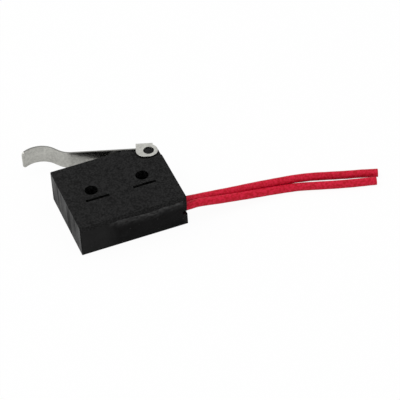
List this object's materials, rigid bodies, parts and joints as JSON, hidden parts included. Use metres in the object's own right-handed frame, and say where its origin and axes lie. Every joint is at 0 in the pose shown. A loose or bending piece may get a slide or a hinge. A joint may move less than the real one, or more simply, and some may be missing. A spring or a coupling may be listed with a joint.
{
  "type": "micro switch",
  "caption": "Subminiature snap-action switch: flat black case with mounting holes and slits, curled steel hinge lever over a plunger, and red leads potted into the base.",
  "frame": {"origin": "midway between the two mounting holes, on the back face of the case", "axes": "+X along the case towards the leads, +Y towards the plunger and lever, +Z from the back face to the front face; the switch lies on its back face at z = 0"},
  "size_m": [0.0583, 0.0302, 0.0064],
  "materials": {
    "case": "black glass-filled moulding, fine spark-eroded texture",
    "base_block": "black moulding",
    "potting": "black epoxy, uneven and slightly shiny",
    "lever": "rolled stainless sheet, satin",
    "plunger": "black moulding, smooth",
    "seal": "black rubber",
    "spring_arm": "copper alloy spring strip",
    "contact": "silver alloy rivet",
    "spring": "spring wire",
    "terminal": "tinned brass strip",
    "solder": "tin solder",
    "conductor": "stranded copper",
    "lead": "red extruded insulation, slightly rough"
  },
  "bodies": {
    "switch_body": {"case": "case", "base_block": "base_block", "potting": "potting", "plunger_seal": "seal", "nc_stop": "terminal", "com_terminal": "terminal", "no_terminal": "terminal", "no_contact": "contact", "com_solder": "solder", "no_solder": "solder", "com_core": "conductor", "no_core": "conductor", "com_lead": "lead", "no_lead": "lead"},
    "lever_body": {"lever": "lever"},
    "plunger_body": {"plunger": "plunger"},
    "actuating_arm_body": {"actuating_arm": "spring_arm"},
    "contact_arm_body": {"contact_arm": "spring_arm", "moving_contact": "contact"},
    "toggle_spring_body": {"toggle_spring": "spring"}
  },
  "joints": [
    {"name": "lever_hinge", "type": "hinge", "parent": "switch_body", "child": "lever_body", "pos_m": [0.00815, 0.00575, 0.0032], "axis": [0, 0, 1], "range_deg": [0, 15], "stiffness_Nm_per_rad": 0.02, "springref_deg": -5.73},
    {"name": "plunger_slide", "type": "slide", "parent": "switch_body", "child": "plunger_body", "axis": [0, -1, 0], "range_m": [0, 0.0016]},
    {"name": "actuating_arm_pivot", "type": "hinge", "parent": "switch_body", "child": "actuating_arm_body", "pos_m": [0.0079, 0.00455, 0.0032], "axis": [0, 0, 1], "range_deg": [0, 17]},
    {"name": "contact_arm_pivot", "type": "hinge", "parent": "switch_body", "child": "contact_arm_body", "pos_m": [0.0079, 0.00345, 0.0032], "axis": [0, 0, 1], "range_deg": [0, 2.25]},
    {"name": "toggle_spring_swing", "type": "hinge", "parent": "contact_arm_body", "child": "toggle_spring_body", "pos_m": [-0.00505, 0.00345, 0.0032], "axis": [0, 0, 1], "range_deg": [-5.8, 0]}
  ],
  "couplings": [
    {"joint": "plunger_slide", "follows": "lever_hinge", "m_per_rad": 0.006013},
    {"joint": "actuating_arm_pivot", "follows": "lever_hinge", "ratio": 1.1262},
    {"joint": "contact_arm_pivot", "follows": "lever_hinge", "ratio": 0.14667},
    {"joint": "toggle_spring_swing", "follows": "lever_hinge", "ratio": -0.3808}
  ]
}
